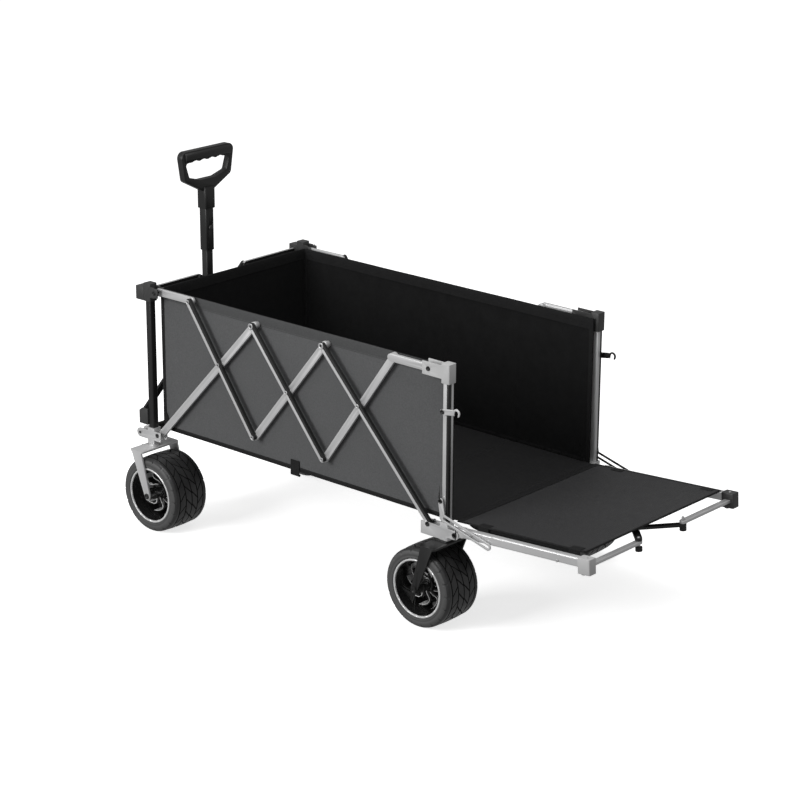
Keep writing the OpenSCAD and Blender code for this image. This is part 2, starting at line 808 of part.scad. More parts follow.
module tyre(x) {
    w = wheel_w / 2;
    bead = rim_d / 2 + 0.2;
    shoulder = 7;
    translate([x, -post_y, wheel_r]) rotate([90, 0, 0]) rotate_extrude($fn = 96) difference() {
        union() {
            translate([bead, -w + shoulder]) square([wheel_r - bead, 2 * (w - shoulder)]);
            translate([bead, -w]) square([wheel_r - bead - shoulder, 2 * w]);
            for (side = [-1, 1]) translate([wheel_r - shoulder, side * (w - shoulder)]) circle(shoulder);
        }
        translate([0, -w - 1]) square([bead, 2 * w + 2]);
    }
}

module rim(x) {
    w = wheel_w / 2 - 2;
    r = rim_d / 2;
    hub_r = 17;
    translate([x, -post_y, wheel_r]) rotate([90, 0, 0]) difference() {
        union() {
            rotate_extrude($fn = 96) {
                translate([r - 7, -w]) square([7, 2 * w]);
                translate([axle_r + run_fit, -w - 1]) square([hub_r - axle_r, 2 * w + 2]);
                translate([hub_r - 1, -5]) square([r - hub_r - 4, 10]);
            }
        }
        for (a = [0 : 36 : 359]) rotate(a) translate([0, 0, -6]) linear_extrude(12)
            polygon([[hub_r + 8, -5], [r - 13, -7], [r - 14, 16], [hub_r + 8, 4]]);
    }
}

module tyre_front_left() {
    color("black") tyre(front_axle_x);
}

module tyre_front_right() {
    color("black") mirror([0, 1, 0]) tyre(front_axle_x);
}

module tyre_rear_left() {
    color("black") tyre(rear_axle_x);
}

module tyre_rear_right() {
    color("black") mirror([0, 1, 0]) tyre(rear_axle_x);
}

module rim_front_left() {
    color("silver") rim(front_axle_x);
}

module rim_front_right() {
    color("silver") mirror([0, 1, 0]) rim(front_axle_x);
}

module rim_rear_left() {
    color("silver") rim(rear_axle_x);
}

module rim_rear_right() {
    color("silver") mirror([0, 1, 0]) rim(rear_axle_x);
}

// Front casters: the fork turns on its king pin, and the pedal tips against the tyre.
pedal_pivot_x = steer_x - crown_len / 2 - 4;
pedal_pivot_z = crown_z - fork_t - 9;

module caster_fork() {
    ear_t = 4;
    difference() {
        union() {
            fork(steer_x, trail);
            translate([steer_x, -post_y, crown_z]) {
                cylinder(r = 15, h = collar_h - slide_fit);
                cylinder(r = king_r, h = collar_h + king_len);
            }
            for (side = [-1, 1]) translate([0, -post_y + side * 20 + ear_t / 2, 0]) rotate([90, 0, 0])
                linear_extrude(ear_t) {
                    translate([pedal_pivot_x, pedal_pivot_z]) circle(7);
                    translate([pedal_pivot_x, pedal_pivot_z]) square([14, crown_z - pedal_pivot_z]);
                }
        }
        translate([pedal_pivot_x, -post_y + 30, pedal_pivot_z]) rotate([90, 0, 0])
            cylinder(r = rivet_r + run_fit, h = 60);
    }
}

module caster_fork_left() {
    color("silver") caster_fork();
}

module caster_fork_right() {
    color("silver") mirror([0, 1, 0]) caster_fork();
}

module caster_axle_left() {
    color("silver") axle_bolt(front_axle_x);
}

module caster_axle_right() {
    color("silver") mirror([0, 1, 0]) axle_bolt(front_axle_x);
}

module brake_pedal() {
    half = 20 - 2 - slide_fit;
    translate([pedal_pivot_x, -post_y, pedal_pivot_z]) rotate([90, 0, 0]) {
        translate([0, 0, -half]) linear_extrude(2 * half) union() {
            circle(6);
            polygon([[-1, 6], [-36, -6], [-40, -14], [-30, -12], [-8, -5], [0, -6]]);
        }
        translate([0, 0, -half - 7]) cylinder(r = rivet_r, h = 2 * half + 14);
    }
}

module brake_pedal_left() {
    color("silver") brake_pedal();
}

module brake_pedal_right() {
    color("silver") mirror([0, 1, 0]) brake_pedal();
}

// Handle.

module handle_stem() {
    color("black") translate([handle_x, 0, handle_pivot_z - 14]) difference() {
        square_tube(stem_w, 2, stem_top - handle_pivot_z + 14, 4);
        translate([0, stem_w, 14]) rotate([90, 0, 0]) cylinder(r = rivet_r + run_fit, h = 2 * stem_w);
    }
}

module handle_sleeve() {
    bore = (sleeve_w - stem_w) / 2 - slide_fit;
    color("black") translate([handle_x, 0, sleeve_z]) difference() {
        square_tube(sleeve_w, bore, sleeve_len, 5);
        translate([0, 0, button_z - sleeve_z]) rotate([0, 90, 0]) cylinder(r = button_r + run_fit, h = sleeve_w);
    }
}

module handle_grip() {
    limb = 15;
    loop_t = 20;
    half = grip_w / 2;
    low_half = half - 9;
    bar_h = 32;
    color("black") translate([handle_x, 0, collar_z + neck_h]) {
        difference() {
            union() {
                rotate([90, 0, 90]) translate([0, 0, -loop_t / 2]) linear_extrude(loop_t) hull() {
                    for (side = [-1, 1]) {
                        translate([side * (half - 18), grip_h - 18]) circle(18, $fn = 48);
                        translate([side * (low_half - 14), 27]) circle(14, $fn = 48);
                        translate([side * (low_half - 30), 14]) circle(7, $fn = 48);
                    }
                    translate([0, -14]) square([42, 8], center = true);
                }
                translate([0, half - 13, grip_h - bar_h / 2 - 1]) rotate([90, 0, 0])
                    linear_extrude(grip_w - 26) rounded_square(grip_t, bar_h - 2, 11);
            }
            rotate([90, 0, 90]) translate([0, 0, -grip_t]) linear_extrude(2 * grip_t) {
                hull() for (side = [-1, 1]) {
                    translate([side * (half - limb - 9), grip_h - bar_h - 8]) circle(8, $fn = 32);
                    translate([side * (low_half - limb - 9), 34]) circle(8, $fn = 32);
                    translate([side * 28, 23]) circle(8, $fn = 32);
                }
                for (i = [-1.5 : 1 : 1.5]) translate([i * 31, grip_h - bar_h - 12]) circle(17, $fn = 48);
            }
        }
        translate([0, 0, -neck_h]) difference() {
            linear_extrude(neck_h - 8) rounded_square(neck_w, neck_w, 7);
            translate([0, 0, -1]) linear_extrude(neck_h - 19) rounded_square(stem_w + 1, stem_w + 1, 4);
        }
    }
}

module lock_button() {
    inner_end = stem_w / 2 + slide_fit + button_press + 0.2;
    color("dimgray") translate([handle_x + inner_end, 0, button_z]) rotate([0, 90, 0])
        cylinder(r = button_r, h = sleeve_w / 2 + 4 - inner_end);
}

front_posts();
front_corner_fittings();
front_lower_brackets();
end_bar_outer();
end_bar_inner();
end_links();
end_bar_feet();
draw_bar();
handle_yoke();
front_panel();
side_panel_left();
side_panel_right();
floor_panel();
front_bolts();
rising_bars_front();
falling_bars_front();
rising_bars_middle();
falling_bars_middle();
rising_bars_rear();
falling_bars_rear();
rivets_front();
rivets_middle();
rivets_rear();
front_top_links();
rear_top_links();
rear_posts();
rear_corner_fittings();
rear_lower_brackets();
rear_forks();
rear_bolts();
latch_hook_left();
latch_hook_right();
brace_arms();
tailgate_tubes();
tailgate_corners();
tailgate_bars();
tailgate_links();
tailgate_feet();
tailgate_panel();
tailgate_studs();
caster_fork_left();
caster_fork_right();
caster_axle_left();
caster_axle_right();
brake_pedal_left();
brake_pedal_right();
tyre_front_left();
tyre_front_right();
tyre_rear_left();
tyre_rear_right();
rim_front_left();
rim_front_right();
rim_rear_left();
rim_rear_right();
handle_stem();
handle_sleeve();
handle_grip();
lock_button();
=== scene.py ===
import math
import random

import bpy
from mathutils import Euler, Matrix, Vector
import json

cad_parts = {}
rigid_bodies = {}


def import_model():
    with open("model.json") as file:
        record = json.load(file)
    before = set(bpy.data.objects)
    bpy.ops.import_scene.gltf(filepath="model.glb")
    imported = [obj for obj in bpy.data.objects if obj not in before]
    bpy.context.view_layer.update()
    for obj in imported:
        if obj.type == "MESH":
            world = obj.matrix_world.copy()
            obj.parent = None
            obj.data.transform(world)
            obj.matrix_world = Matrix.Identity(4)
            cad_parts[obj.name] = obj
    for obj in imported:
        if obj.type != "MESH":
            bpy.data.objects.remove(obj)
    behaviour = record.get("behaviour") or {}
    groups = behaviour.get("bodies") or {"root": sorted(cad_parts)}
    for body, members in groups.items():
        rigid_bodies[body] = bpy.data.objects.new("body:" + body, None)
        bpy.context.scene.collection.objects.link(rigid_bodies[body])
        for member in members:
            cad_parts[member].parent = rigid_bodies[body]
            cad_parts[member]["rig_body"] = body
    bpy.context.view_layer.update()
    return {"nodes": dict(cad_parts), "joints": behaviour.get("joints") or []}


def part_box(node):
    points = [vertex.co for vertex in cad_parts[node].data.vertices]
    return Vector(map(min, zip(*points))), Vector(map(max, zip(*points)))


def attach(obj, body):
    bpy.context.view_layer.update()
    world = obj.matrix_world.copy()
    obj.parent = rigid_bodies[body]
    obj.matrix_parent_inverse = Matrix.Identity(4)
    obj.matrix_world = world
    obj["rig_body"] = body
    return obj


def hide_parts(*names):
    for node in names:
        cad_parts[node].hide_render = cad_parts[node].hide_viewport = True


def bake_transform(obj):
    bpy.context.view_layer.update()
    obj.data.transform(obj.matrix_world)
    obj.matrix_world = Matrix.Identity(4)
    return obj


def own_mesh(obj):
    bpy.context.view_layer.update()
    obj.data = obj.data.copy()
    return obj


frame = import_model()
bpy.ops.object.select_all(action="DESELECT")

# The studio: a pale floor under the wheels and a camera with a long lens, up to the right of the
# wagon. Its place is measured from the floor panel's front left corner, in metres.
floor_low, floor_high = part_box("floor_panel")
wall_low, wall_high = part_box("side_panel_left")
box_corner = Vector((wall_low.x, wall_low.y, floor_high.z))
bpy.ops.object.camera_add()
camera = bpy.context.object
camera.name = "studio_camera"
camera.data.sensor_width = 36
camera.data.lens = 110.74
camera.data.clip_end = 50
camera.matrix_world = (
    Matrix.Translation(box_corner + Vector((4.763, -4.396, 2.246)))
    @ Euler((math.radians(71.453), 0, math.radians(41.505))).to_matrix().to_4x4()
    @ Matrix.Rotation(math.radians(0.3), 4, "Z")
)
bpy.context.scene.camera = camera

bpy.ops.mesh.primitive_plane_add(size=60, location=(0, 0, -0.0005))
studio_floor = bpy.context.object
studio_floor.name = "studio_floor"
floor_paint = bpy.data.materials.new("studio_floor_paint")
floor_paint.use_nodes = True
floor_shader = floor_paint.node_tree.nodes["Principled BSDF"]
floor_shader.inputs["Base Color"].default_value = (0.93, 0.93, 0.93, 1)
floor_shader.inputs["Roughness"].default_value = 0.9
floor_shader.inputs["Specular IOR Level"].default_value = 0.1
floor_shader.inputs["Emission Color"].default_value = (1, 1, 1, 1)
floor_shader.inputs["Emission Strength"].default_value = 0.72
studio_floor.data.materials.append(floor_paint)
studio_floor.visible_diffuse = False
studio_floor.visible_glossy = False

studio_world = bpy.data.worlds.new("studio_world")
studio_world.use_nodes = True
studio_world.node_tree.nodes["Background"].inputs["Color"].default_value = (1, 1, 1, 1)
studio_world.node_tree.nodes["Background"].inputs["Strength"].default_value = 0.34
bpy.context.scene.world = studio_world
bpy.context.scene.view_settings.view_transform = "Standard"


def softbox(name, place, aim, size, power):
    bpy.ops.object.light_add(type="AREA", location=place)
    lamp = bpy.context.object
    lamp.name = name
    lamp.data.shape = "RECTANGLE"
    lamp.data.size, lamp.data.size_y = size
    lamp.data.energy = power
    lamp.rotation_euler = (Vector(aim) - Vector(place)).to_track_quat("-Z", "Y").to_euler()


softbox("top_softbox", (0.4, -0.6, 4.2), (0.2, 0, 0.4), (3.5, 2.5), 90)
softbox("side_softbox", (-1.6, -5.0, 2.4), (0.1, 0, 0.5), (2.4, 2.4), 210)

# The end frames: square steel tube, powder coated black in front and bright silver behind, in cast
# aluminium brackets and nylon corner fittings. Every folded or cast edge is slightly rounded.


def shader_of(material):
    material.use_nodes = True
    return material.node_tree.nodes["Principled BSDF"]


def surface_noise(material, scale, detail=4.0, stretch=(1, 1, 1)):
    """Noise on the object's own coordinates, stretched along an axis when asked."""
    nodes, links = material.node_tree.nodes, material.node_tree.links
    place = nodes.new("ShaderNodeTexCoord")
    mapping = nodes.new("ShaderNodeMapping")
    mapping.inputs["Scale"].default_value = stretch
    noise = nodes.new("ShaderNodeTexNoise")
    noise.inputs["Scale"].default_value = scale
    noise.inputs["Detail"].default_value = detail
    links.new(place.outputs["Object"], mapping.inputs["Vector"])
    links.new(mapping.outputs["Vector"], noise.inputs["Vector"])
    return noise.outputs["Fac"]


def value_from(material, fac, low, high, socket):
    """Feeds a socket from a 0 to 1 pattern, spread between two numbers."""
    nodes, links = material.node_tree.nodes, material.node_tree.links
    spread = nodes.new("ShaderNodeMapRange")
    spread.inputs["From Min"].default_value = 0.3
    spread.inputs["From Max"].default_value = 0.7
    spread.inputs["To Min"].default_value = low
    spread.inputs["To Max"].default_value = high
    links.new(fac, spread.inputs["Value"])
    links.new(spread.outputs["Result"], socket)


def colour_from(material, fac, dark, light, socket):
    """Feeds a colour socket from a pattern, between two greys or colours."""
    nodes, links = material.node_tree.nodes, material.node_tree.links
    ramp = nodes.new("ShaderNodeValToRGB")
    ramp.color_ramp.elements[0].position = 0.3
    ramp.color_ramp.elements[0].color = (*dark, 1)
    ramp.color_ramp.elements[1].position = 0.7
    ramp.color_ramp.elements[1].color = (*light, 1)
    links.new(fac, ramp.inputs["Fac"])
    links.new(ramp.outputs["Color"], socket)


def bump_from(material, height, strength, distance):
    nodes, links = material.node_tree.nodes, material.node_tree.links
    bump = nodes.new("ShaderNodeBump")
    bump.inputs["Strength"].default_value = strength
    bump.inputs["Distance"].default_value = distance
    links.new(height, bump.inputs["Height"])
    links.new(bump.outputs["Normal"], shader_of(material).inputs["Normal"])


def coated_metal(name, grey, metallic, rough):
    """Powder coat: a fine orange peel, faint cloudiness and a handled, uneven gloss."""
    material = bpy.data.materials.new(name)
    shader = shader_of(material)
    shader.inputs["Metallic"].default_value = metallic
    peel = surface_noise(material, 900, 2)
    clouds = surface_noise(material, 9, 5)
    tint = (grey, grey, grey * 1.005)
    colour_from(material, clouds, [c * 0.93 for c in tint], tint, shader.inputs["Base Color"])
    value_from(material, clouds, rough * 0.85, rough * 1.2, shader.inputs["Roughness"])
    bump_from(material, peel, 0.12, 0.0004)
    return material


def moulded_plastic(name, grey, rough, grain=1400):
    """Nylon with a fine spark-eroded grain and a little sheen where hands rub it."""
    material = bpy.data.materials.new(name)
    shader = shader_of(material)
    grains = surface_noise(material, grain, 3)
    clouds = surface_noise(material, 14, 4)
    colour_from(material, clouds, [grey * 0.88] * 3, [grey] * 3, shader.inputs["Base Color"])
    value_from(material, clouds, rough * 0.9, rough * 1.15, shader.inputs["Roughness"])
    bump_from(material, grains, 0.25, 0.0003)
    return material


silver_coat = coated_metal("silver_coat", 0.58, 0.4, 0.33)
black_coat = coated_metal("black_coat", 0.010, 0.1, 0.36)
silver_nylon = moulded_plastic("silver_nylon", 0.46, 0.42)
grey_nylon = moulded_plastic("grey_nylon", 0.034, 0.42)
black_nylon = moulded_plastic("black_nylon", 0.009, 0.42)


def edit(piece):
    """Opens one piece for editing, with nothing else selected."""
    bpy.ops.object.select_all(action="DESELECT")
    piece.select_set(True)
    bpy.context.view_layer.objects.active = piece
    bpy.ops.object.mode_set(mode="EDIT")
    bpy.ops.mesh.select_all(action="SELECT")


def settle(piece, smooth_angle=35):
    """Closes editing, applies the modifiers and shades the piece."""
    if bpy.context.object.mode == "EDIT":
        bpy.ops.object.mode_set(mode="OBJECT")
    bpy.ops.object.select_all(action="DESELECT")
    piece.select_set(True)
    bpy.context.view_layer.objects.active = piece
    for modifier in list(piece.modifiers):
        bpy.ops.object.modifier_apply(modifier=modifier.name)
    bpy.ops.object.transform_apply(location=True, rotation=True, scale=True)
    bpy.ops.object.shade_smooth_by_angle(angle=math.radians(smooth_angle))


def paint(piece, *materials):
    piece.data.materials.clear()
    for material in materials:
        piece.data.materials.append(material)


def finished(piece, body, slot, *nodes):
    """Says which body the piece moves with and the plain parts it stands for; its finish (slot) is not used.
    """
    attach(piece, body)
    if nodes:
        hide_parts(*nodes)


def eased(node, material, slot, edge=0.0008, side=0, name=None, segments=2):
    """A made part with its edges rounded over; side -1 or 1 keeps only the left or right one."""
    source = frame["nodes"][node]
    piece = source.copy()
    piece.data = source.data.copy()
    bpy.context.scene.collection.objects.link(piece)
    piece.name = name or node + "_made"
    piece.parent = None
    piece.hide_render = piece.hide_viewport = False
    body = piece["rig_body"]
    for key in list(piece.keys()):
        del piece[key]
    edit(piece)
    bpy.ops.mesh.customdata_custom_splitnormals_clear()
    bpy.ops.mesh.remove_doubles(threshold=0.00002)
    if side:
        bpy.ops.mesh.bisect(plane_co=(0, 0, 0), plane_no=(0, side, 0), clear_inner=True)
        bpy.ops.mesh.select_all(action="SELECT")
    bpy.ops.mesh.dissolve_limited(angle_limit=math.radians(1))
    bpy.ops.object.mode_set(mode="OBJECT")
    bevel = piece.modifiers.new("eased_edges", "BEVEL")
    bevel.width = edge
    bevel.segments = segments
    bevel.limit_method = "ANGLE"
    bevel.angle_limit = math.radians(38)
    bevel.harden_normals = False
    settle(piece)
    paint(piece, material)
    finished(piece, body, slot, node)
    return piece


eased("front_posts", black_coat, "black_frame")
rear_posts = eased("rear_posts", silver_coat, "silver_frame")
post_low, post_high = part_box("rear_posts")
post_x = (post_low.x + post_high.x) / 2
post_middle = post_high.y - (post_high.x - post_low.x) / 2
# A black band is painted on each rear post's outer rear corner: painted shade down the corner between its two
# lit faces.
shade_band_x = post_x + 0.0032
shade_band_edges = (((shade_band_x, 0, 0), (1, 0, 0)), ((0, post_middle, 0), (0, 1, 0)),
    ((0, -post_middle, 0), (0, 1, 0)))
for place, normal in shade_band_edges:
    edit(rear_posts)
    bpy.ops.mesh.bisect(plane_co=place, plane_no=normal)
    bpy.ops.object.mode_set(mode="OBJECT")
rear_posts.data.materials.append(black_coat)
for face in rear_posts.data.polygons:
    if face.center.x > shade_band_x and abs(face.center.y) > post_middle and abs(face.normal.z) < 0.5:
        face.material_index = 1
eased("front_corner_fittings", grey_nylon, "grey_moulding", 0.0016)
# One part in two halves: the near left fitting is silver and the far right one grey, a lit and a shaded copy,
# painted shade on the far side.
eased("rear_corner_fittings", silver_nylon, "silver_moulding", 0.0016, -1, "rear_corner_left")
eased("rear_corner_fittings", grey_nylon, "grey_moulding", 0.0016, 1, "rear_corner_right")
eased("front_lower_brackets", silver_coat, "silver_frame", 0.0012)
eased("rear_lower_brackets", silver_coat, "silver_frame", 0.0012)
eased("end_bar_outer", black_coat, "black_frame")
eased("end_bar_inner", black_coat, "black_frame")
# The end links are painted silver on top only and black on their sides and undersides: a painted highlight on
# the top faces where light falls from above.
end_links = eased("end_links", silver_coat, "silver_frame")
end_links.data.materials.append(black_coat)
for face in end_links.data.polygons:
    if face.normal.z < 0.6:
        face.material_index = 1
eased("end_bar_feet", grey_nylon, "grey_moulding", 0.0016)
eased("draw_bar", black_coat, "black_frame", 0.0012)
eased("handle_yoke", black_nylon, "black_plastic", 0.0014)

# The scissor sides: flat oval aluminium bars in two layers, riveted through washers, and the short
# top links that tie the first and last crossings to the corner fittings.
for node in ("rising_bars_front", "rising_bars_middle", "rising_bars_rear"):
    eased(node, silver_coat, "silver_frame", 0.0012)
# A matte black for painted shade on the outer bars.
bar_shade_strip = moulded_plastic("bar_shade_strip", 0.004, 0.6)
outer_bar_width = 0.016
shade_strip_from = 0.001
for node in ("falling_bars_front", "falling_bars_middle", "falling_bars_rear"):
    bar = eased(node, silver_coat, "silver_frame", 0.0012)
    # A black strip is painted along the upper edge of each outer bar and over part of its face: painted shade
    # of the bar's upper side and of the shadow it casts on the cloth beside it.
    low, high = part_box(node)
    down = Vector((high.x - low.x - outer_bar_width, 0, low.z - high.z + outer_bar_width)).normalized()
    across_bar = Vector((-down.z, 0, down.x))
    middle = (low + high) / 2
    edit(bar)
    bpy.ops.mesh.bisect(plane_co=middle + across_bar * shade_strip_from, plane_no=across_bar)
    bpy.ops.object.mode_set(mode="OBJECT")
    bar.data.materials.append(bar_shade_strip)
    for face in bar.data.polygons:
        if (face.center - middle).dot(across_bar) > shade_strip_from:
            face.material_index = 1
eased("front_top_links", silver_coat, "silver_frame", 0.0012)
eased("rear_top_links", silver_coat, "silver_frame", 0.0012)

# Bolts and rivets: domed heads with a socket sunk in each, its floor painted black as shade in the recess.
# The rivets and latch studs are zinc-plated steel; the frame's bolts and the axles are black steel.
zinc = bpy.data.materials.new("zinc")
zinc_shader = shader_of(zinc)
zinc_shader.inputs["Metallic"].default_value = 0.45
colour_from(zinc, surface_noise(zinc, 60, 4), (0.42, 0.42, 0.43), (0.56, 0.56, 0.56),
    zinc_shader.inputs["Base Color"])
value_from(zinc, surface_noise(zinc, 400, 4), 0.25, 0.42, zinc_shader.inputs["Roughness"])


def head_size(face):
    """Radius of a bolt's flat end, or None for any other face."""
    if len(face.vertices) > 9 and 0.000012 < face.area < 0.0009 and abs(face.normal.y) > 0.97:
        return math.sqrt(face.area / math.pi)
    return None


def socket_heads(piece, share=0.5, depth=0.0012):
    """Sinks a socket in the flat end of each bolt or rivet head and paints its floor black: painted shade in
    the recess.
    """
    piece.data.materials.append(black_nylon)
    sizes = {round(head_size(face), 4) for face in piece.data.polygons if head_size(face)}
    for radius in sorted(sizes):
        edit(piece)
        bpy.ops.mesh.select_all(action="DESELECT")
        bpy.ops.object.mode_set(mode="OBJECT")
        for face in piece.data.polygons:
            size = math.sqrt(face.area / math.pi)
            flat_end = len(face.vertices) > 9 and abs(face.normal.y) > 0.97
            face.select = flat_end and abs(size - radius) < 0.00012
        bpy.ops.object.mode_set(mode="EDIT")
        bpy.ops.mesh.inset(thickness=radius * (1 - share), depth=0, use_individual=True)
        bpy.ops.mesh.inset(thickness=0.0001, depth=-depth, use_individual=True)
        bpy.ops.object.mode_set(mode="OBJECT")
        for face in piece.data.polygons:
            if face.select:
                face.material_index = 1
    bpy.ops.object.select_all(action="DESELECT")


black_steel = coated_metal("black_steel", 0.016, 0.3, 0.35)
for node in ("rivets_front", "rivets_middle", "rivets_rear", "tailgate_studs"):
    socket_heads(eased(node, zinc, "fastener", 0.0009))
for node in ("front_bolts", "rear_bolts", "caster_axle_left", "caster_axle_right"):
    socket_heads(eased(node, black_steel, "fastener", 0.0009))

# Tyres: wide moulded rubber, with four rows of slanted tread blocks between narrow grooves and a smooth
# rounded shoulder with short notches. A flat grid is rolled up into the ring; its grooves lie on the
# grid's own lines.
tyre_rubber = bpy.data.materials.new("tyre_rubber")
rubber = shader_of(tyre_rubber)
colour_from(tyre_rubber, surface_noise(tyre_rubber, 22, 6), (0.020, 0.020, 0.0205), (0.034, 0.034, 0.0345),
    rubber.inputs["Base Color"])
value_from(tyre_rubber, surface_noise(tyre_rubber, 60, 5), 0.30, 0.46, rubber.inputs["Roughness"])
bump_from(tyre_rubber, surface_noise(tyre_rubber, 1300, 3), 0.15, 0.0003)
# The groove floors are painted near black: painted shade at the bottom of the grooves.
groove_shade_rubber = moulded_plastic("groove_shade_rubber", 0.003, 0.8)
side_rubber = moulded_plastic("side_rubber", 0.062, 0.6)

tyre_low, tyre_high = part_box("tyre_front_left")
wheel_radius = (tyre_high.z - tyre_low.z) / 2
half_tyre = (tyre_high.y - tyre_low.y) / 2
bead_radius = (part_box("rim_front_left")[1].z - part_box("rim_front_left")[0].z) / 2 + 0.0003
pitches = 18
groove = 0.0034
groove_depth = 0.0046
shoulder = 0.013
tread_edge = half_tyre - shoulder - 0.006
row_width = tread_edge / 2
# Stations round the tyre within one pitch, and whether they lie in the groove between two blocks.
around = ((0, 0), (0.05, 0), (0.28, 0), (0.5, 0), (0.72, 0), (0.87, 0), (0.89, 1), (0.98, 1))


def crown(y):
    """Radius of the tyre's face at a distance from its middle."""
    return wheel_radius - 0.0016 * (y / tread_edge) ** 2


# Stations across the tyre from its middle to one bead: distance, radius, whether it lies in a groove,
# how far its blocks are turned on, in pitches, and how deep the cuts between its blocks are.
stations = []
for row in range(2):
    near = row * row_width
    start_turn, end_turn = ((0, 0.55), (1.05, 0.5))[row]
    inner, outer = near + groove / 2, near + row_width - groove / 2
    for share in (0, 0.05, 0.35, 0.65, 0.95, 1):
        y = inner + (outer - inner) * share
        stations.append((y, crown(y), 0, start_turn + (end_turn - start_turn) * share, 1))
    stations.append((outer + 0.0003, crown(outer) - groove_depth, 1, end_turn, 1))
    next_turn = (1.05, 0.5)[row]
    stations.append((near + row_width + groove / 2 - 0.0003, crown(outer) - groove_depth, 1, next_turn, 1))
stations.insert(0, (0, crown(0) - groove_depth, 1, 0, 1))
stations.insert(1, (groove / 2 - 0.0003, crown(0) - groove_depth, 1, 0, 1))
for y in (tread_edge + groove / 2, tread_edge + 0.004):
    stations.append((y, crown(y), 0, 0.5, 0))
for turn in (0, 12, 24, 38, 52, 64, 76, 90):
    y = half_tyre - shoulder + shoulder * math.sin(math.radians(turn))
    r = crown(tread_edge) - shoulder * (1 - math.cos(math.radians(turn)))
    stations.append((y, r, 0, 0.5, 0.5 if 30 < turn < 80 else 0))
wall_outer = crown(tread_edge) - shoulder
wall_height = wall_outer - bead_radius
for share, inset in ((0.2, 0), (0.3, 0.0006), (0.62, 0.0006), (0.7, 0), (0.9, 0.0006), (1, 0.0026)):
    stations.append((half_tyre - inset, wall_outer - wall_height * share, 0, 0.5, 0))
stations.append((half_tyre - 0.008, bead_radius - 0.0006, 0, 0.5, 0))
across = [(-y, r, sunk, -turned, blocks) for y, r, sunk, turned, blocks in reversed(stations[1:])] + stations

columns = pitches * len(around)
bpy.ops.mesh.primitive_grid_add(x_subdivisions=columns, y_subdivisions=len(across) - 1, size=2)
tyre = bpy.context.object
tyre.name = "tyre_pattern"
vertices = sorted(tyre.data.vertices, key=lambda v: (round(v.co.y, 5), v.co.x))
for index, vertex in enumerate(vertices):
    row, column = divmod(index, columns + 1)
    y, r, sunk, turned, blocks = across[row]
    start, cut = around[column % len(around)]
    pitch = column // len(around) + start
    if cut and not sunk:
        r -= groove_depth * blocks
    turn = 2 * math.pi * (pitch + turned) / pitches
    vertex.co = (r * math.sin(turn), y, r * math.cos(turn))
edit(tyre)
bpy.ops.mesh.remove_doubles(threshold=0.00001)
bpy.ops.mesh.normals_make_consistent(inside=False)
settle(tyre, 32)
paint(tyre, tyre_rubber, groove_shade_rubber, side_rubber)
for face in tyre.data.polygons:
    reach, offset = math.hypot(face.center.x, face.center.z), abs(face.center.y)
    if offset > half_tyre - 0.0035:
        face.material_index = 2
    # Faces sunk into the grooves take the painted shade.
    elif offset < tread_edge + 0.002 and reach < crown(offset) - groove_depth * 0.3:
        face.material_index = 1

# Rims: a deep black barrel with ten curved blades round the hub; the two outer lips are machined bright and
# the blades' ridges are painted bright as a highlight along their crests. Moulded in one piece.
rim_black = moulded_plastic("rim_black", 0.010, 0.22, 700)
bright_lip_and_highlight = bpy.data.materials.new("machined_lip_and_painted_highlight")
lip_and_highlight_shader = shader_of(bright_lip_and_highlight)
lip_and_highlight_shader.inputs["Metallic"].default_value = 0.3
colour_from(bright_lip_and_highlight, surface_noise(bright_lip_and_highlight, 50, 4), (0.62, 0.62, 0.62), (0.74, 0.74, 0.74),
    lip_and_highlight_shader.inputs["Base Color"])
value_from(bright_lip_and_highlight, surface_noise(bright_lip_and_highlight, 500, 2), 0.2, 0.34, lip_and_highlight_shader.inputs["Roughness"])

rim_low, rim_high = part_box("rim_front_left")
half_rim = (rim_high.y - rim_low.y) / 2
blade_count = 10
hub_radius, ridge_start = 0.014, 0.022
blade_swirl = 0.42
bpy.ops.mesh.primitive_circle_add(vertices=24, radius=0.01)
rim = bpy.context.object
rim.name = "rim_pattern"
# The barrel's section, from one lip round the inside to the other, then back along the outside.
lip = half_rim - 0.0035
barrel = [(bead_radius - 0.0005, lip), (bead_radius - 0.001, half_rim - 0.0006),
    (bead_radius - 0.0038, half_rim), (bead_radius - 0.0062, half_rim - 0.0008),
    (bead_radius - 0.0070, half_rim - 0.003),
    (bead_radius - 0.0078, half_rim - 0.0075), (bead_radius - 0.0092, half_rim - 0.022),
    (bead_radius - 0.0128, half_rim - 0.040)]
seat = [(bead_radius - 0.0035, -half_rim + 0.02), (bead_radius - 0.0035, half_rim - 0.02)]
section = barrel + [(r, -y) for r, y in reversed(barrel)] + seat
edit(rim)
bpy.ops.mesh.delete(type="VERT")
bpy.ops.object.mode_set(mode="OBJECT")
section_edges = [(i, (i + 1) % len(section)) for i in range(len(section))]
rim.data.from_pydata([(r, y, 0) for r, y in section], section_edges, [])
edit(rim)
bpy.ops.mesh.spin(steps=96, angle=2 * math.pi, center=(0, 0, 0), axis=(0, 1, 0))
bpy.ops.mesh.remove_doubles(threshold=0.00001)
bpy.ops.mesh.normals_make_consistent(inside=False)
bpy.ops.object.mode_set(mode="OBJECT")
paint(rim, rim_black, bright_lip_and_highlight)
for face in rim.data.polygons:
    spot = face.center
    if abs(spot.y) > half_rim - 0.0055 and math.hypot(spot.x, spot.z) > bead_radius - 0.0073:
        face.material_index = 1

